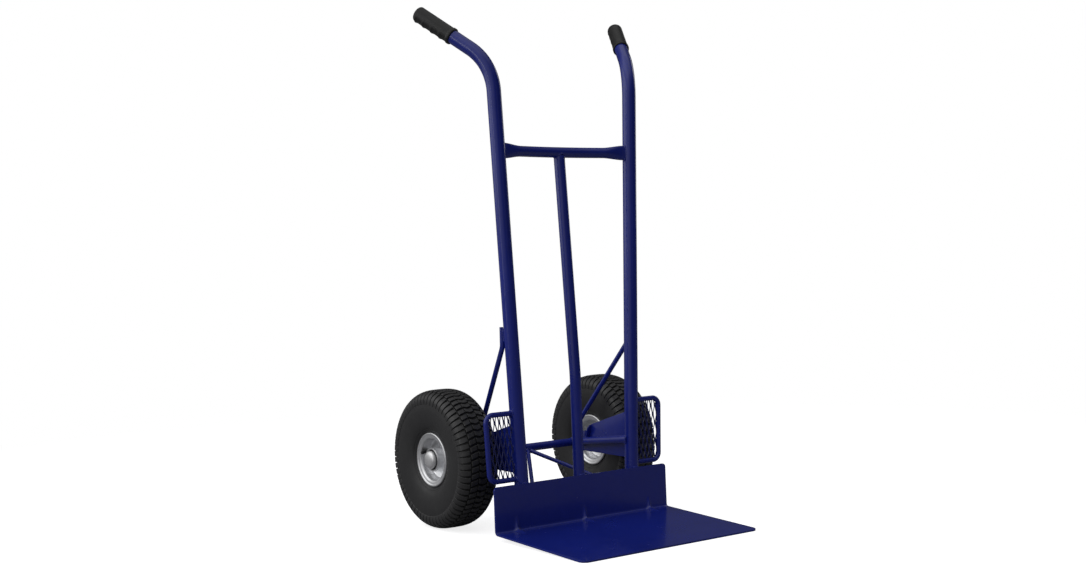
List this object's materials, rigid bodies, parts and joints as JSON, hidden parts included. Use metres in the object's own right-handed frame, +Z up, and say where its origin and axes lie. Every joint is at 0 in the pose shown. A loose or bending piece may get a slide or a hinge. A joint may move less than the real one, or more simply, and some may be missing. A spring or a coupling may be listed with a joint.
{
  "type": "two-wheeled upright sack truck with a folded toe plate and pneumatic wheels",
  "caption": "Blue two-wheeled hand truck with bent-back handles, folded steel toe plate, expanded-metal wheel guards and pneumatic tyres on dished rims",
  "frame": {"origin": "On the floor, under the middle of the whole truck's bounding box.", "axes": "+Z is up. +Y points back, from the toe plate towards the wheels and the person who holds the grips. +X runs along the axle, to the right for someone who looks at the toe plate from in front. The names left and right are from that side too."},
  "size_m": [0.6318, 0.7168, 1.239],
  "materials": {
    "blue_paint": "glossy dark blue enamel over welded steel",
    "tyre_rubber": "matt black rubber",
    "zinc_plate": "zinc-plated pressed steel",
    "bright_steel": "turned bright steel",
    "black_plastic": "black moulded vinyl",
    "soft_rubber": "soft black rubber",
    "cap_metal": "bright pressed steel"
  },
  "bodies": {
    "frame": {"toe_plate": "blue_paint", "top_cross_tube": "blue_paint", "centre_tube": "blue_paint", "axle": "bright_steel", "left_upright": "blue_paint", "left_grip": "black_plastic", "left_guard_loop": "blue_paint", "left_guard_mesh": "blue_paint", "left_axle_bracket": "blue_paint", "left_axle_arm": "blue_paint", "left_brace": "blue_paint", "left_axle_strut": "blue_paint", "left_inner_spacer": "bright_steel", "left_axle_washer": "bright_steel", "left_axle_clip": "bright_steel", "right_upright": "blue_paint", "right_grip": "black_plastic", "right_guard_loop": "blue_paint", "right_guard_mesh": "blue_paint", "right_axle_bracket": "blue_paint", "right_axle_arm": "blue_paint", "right_brace": "blue_paint", "right_axle_strut": "blue_paint", "right_inner_spacer": "bright_steel", "right_axle_washer": "bright_steel", "right_axle_clip": "bright_steel"},
    "left_wheel": {"left_tyre": "tyre_rubber", "left_inner_tube": "soft_rubber", "left_valve_stem": "soft_rubber", "left_valve_cap": "black_plastic", "left_rim_outer": "zinc_plate", "left_rim_inner": "zinc_plate", "left_hub": "zinc_plate", "left_outer_bearing": "bright_steel", "left_inner_bearing": "bright_steel", "left_hub_cap": "cap_metal"},
    "right_wheel": {"right_tyre": "tyre_rubber", "right_inner_tube": "soft_rubber", "right_valve_stem": "soft_rubber", "right_valve_cap": "black_plastic", "right_rim_outer": "zinc_plate", "right_rim_inner": "zinc_plate", "right_hub": "zinc_plate", "right_outer_bearing": "bright_steel", "right_inner_bearing": "bright_steel", "right_hub_cap": "cap_metal"}
  },
  "joints": [
    {"name": "left_wheel_spin", "type": "hinge", "parent": "frame", "child": "left_wheel", "pos_m": [-0.2436, 0.192, 0.16639], "axis": [1, 0, 0], "continuous": true},
    {"name": "right_wheel_spin", "type": "hinge", "parent": "frame", "child": "right_wheel", "pos_m": [0.2436, 0.192, 0.16639], "axis": [1, 0, 0], "continuous": true}
  ]
}
